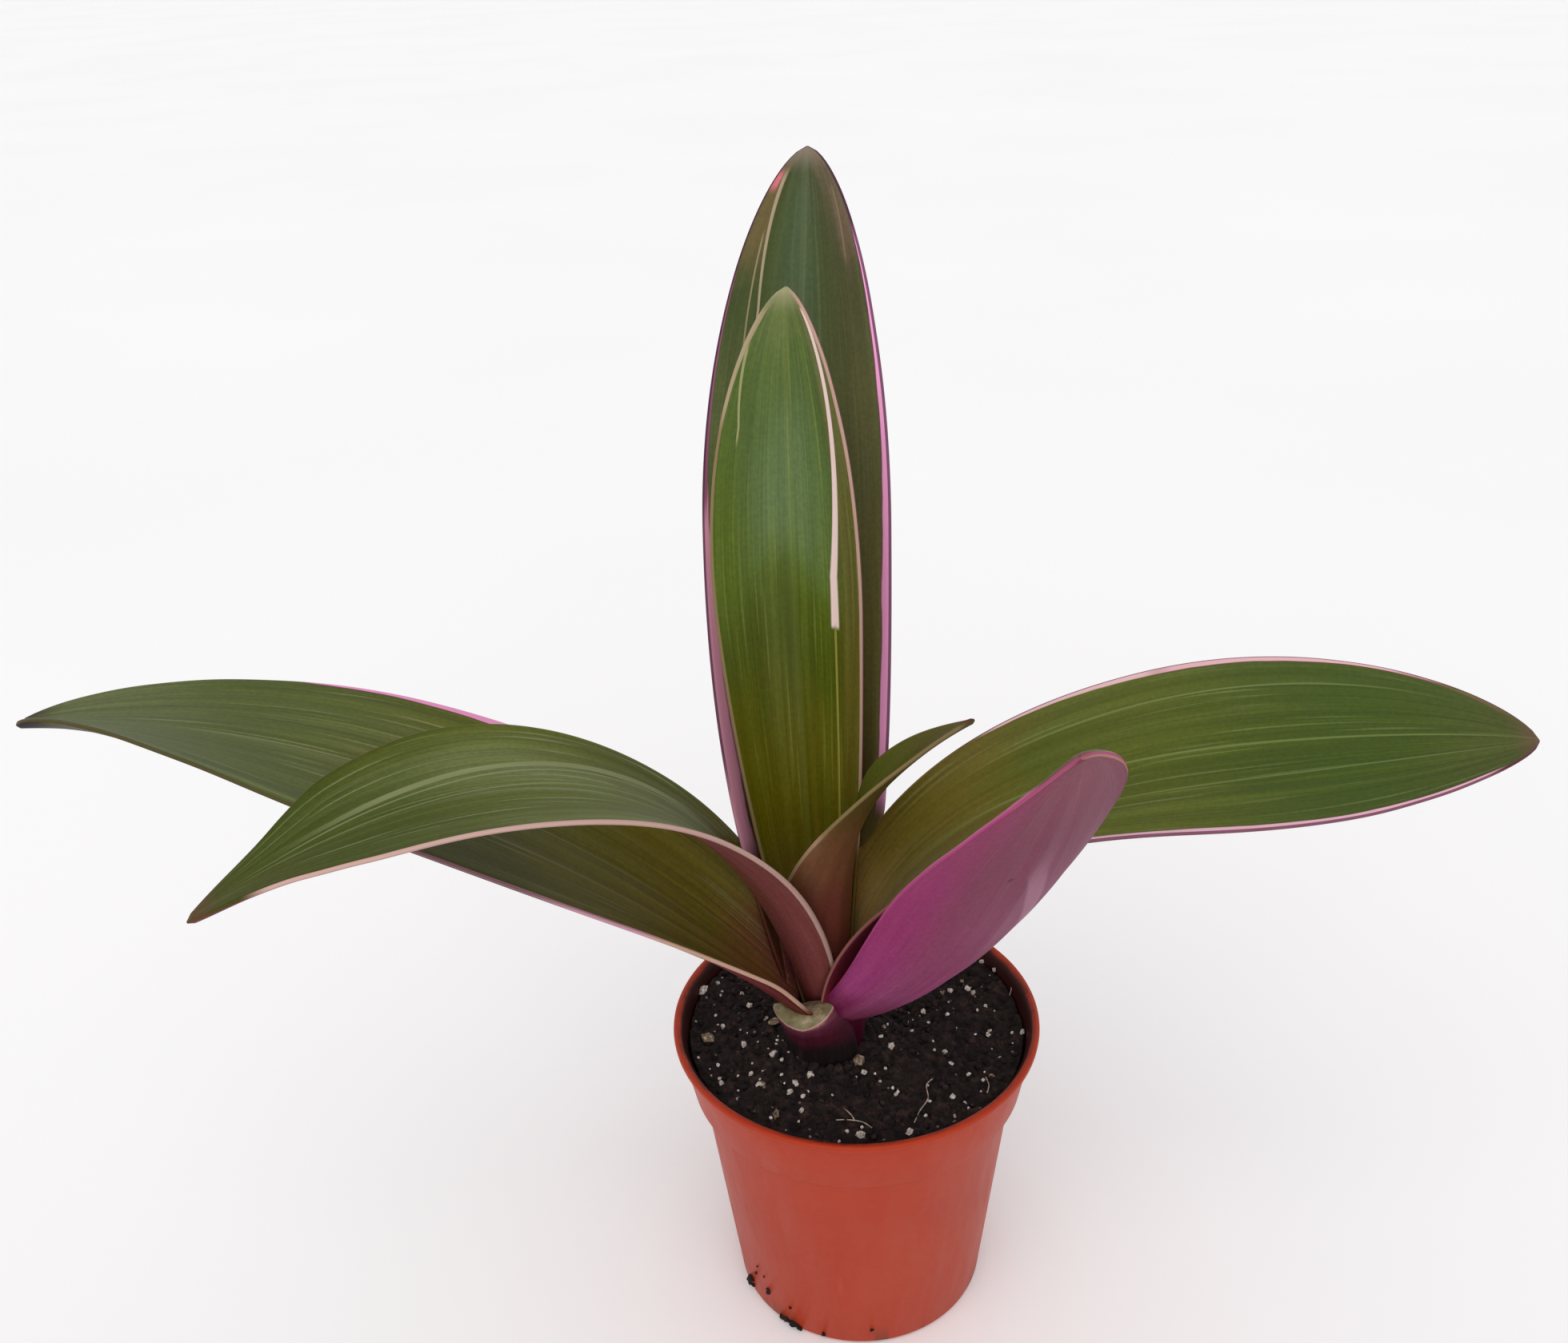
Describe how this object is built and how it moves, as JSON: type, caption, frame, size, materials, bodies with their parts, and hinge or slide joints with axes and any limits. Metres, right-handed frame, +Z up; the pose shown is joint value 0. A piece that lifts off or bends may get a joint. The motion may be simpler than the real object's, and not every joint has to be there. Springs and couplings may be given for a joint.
{
  "type": "potted tradescantia",
  "caption": "Young variegated oyster plant with sword-shaped folded leaves round a short stem, in soil in a small round nursery pot.",
  "frame": {"origin": "centre of the pot's flat foot, on the surface it stands on", "axes": "+Z up along the pot's axis, +X towards the tip of the long right-hand leaf, -Y towards the viewer"},
  "size_m": [0.2458, 0.1171, 0.2151],
  "materials": {
    "leaf_olive": "satin, olive green with cream margins",
    "leaf_green": "satin, fresh green with pale pink and cream stripes",
    "leaf_dusky": "satin, grey-green with pink margins",
    "leaf_purple": "satin, magenta purple underside",
    "old_leaf": "matt maroon, with a pale cut face",
    "potting_soil": "rough and damp, with white perlite",
    "stem_flesh": "satin maroon",
    "pot_plastic": "satin terracotta-coloured plastic"
  },
  "bodies": {
    "root": {"leaf_young_rolled": "leaf_olive", "leaf_inner_upright": "leaf_green", "leaf_back_tall": "leaf_dusky", "leaf_left_front": "leaf_dusky", "leaf_right_long": "leaf_green", "leaf_left_back": "leaf_dusky", "leaf_front_right": "leaf_purple", "old_leaf_stub": "old_leaf", "soil": "potting_soil", "stem": "stem_flesh", "pot": "pot_plastic"}
  },
  "joints": []
}
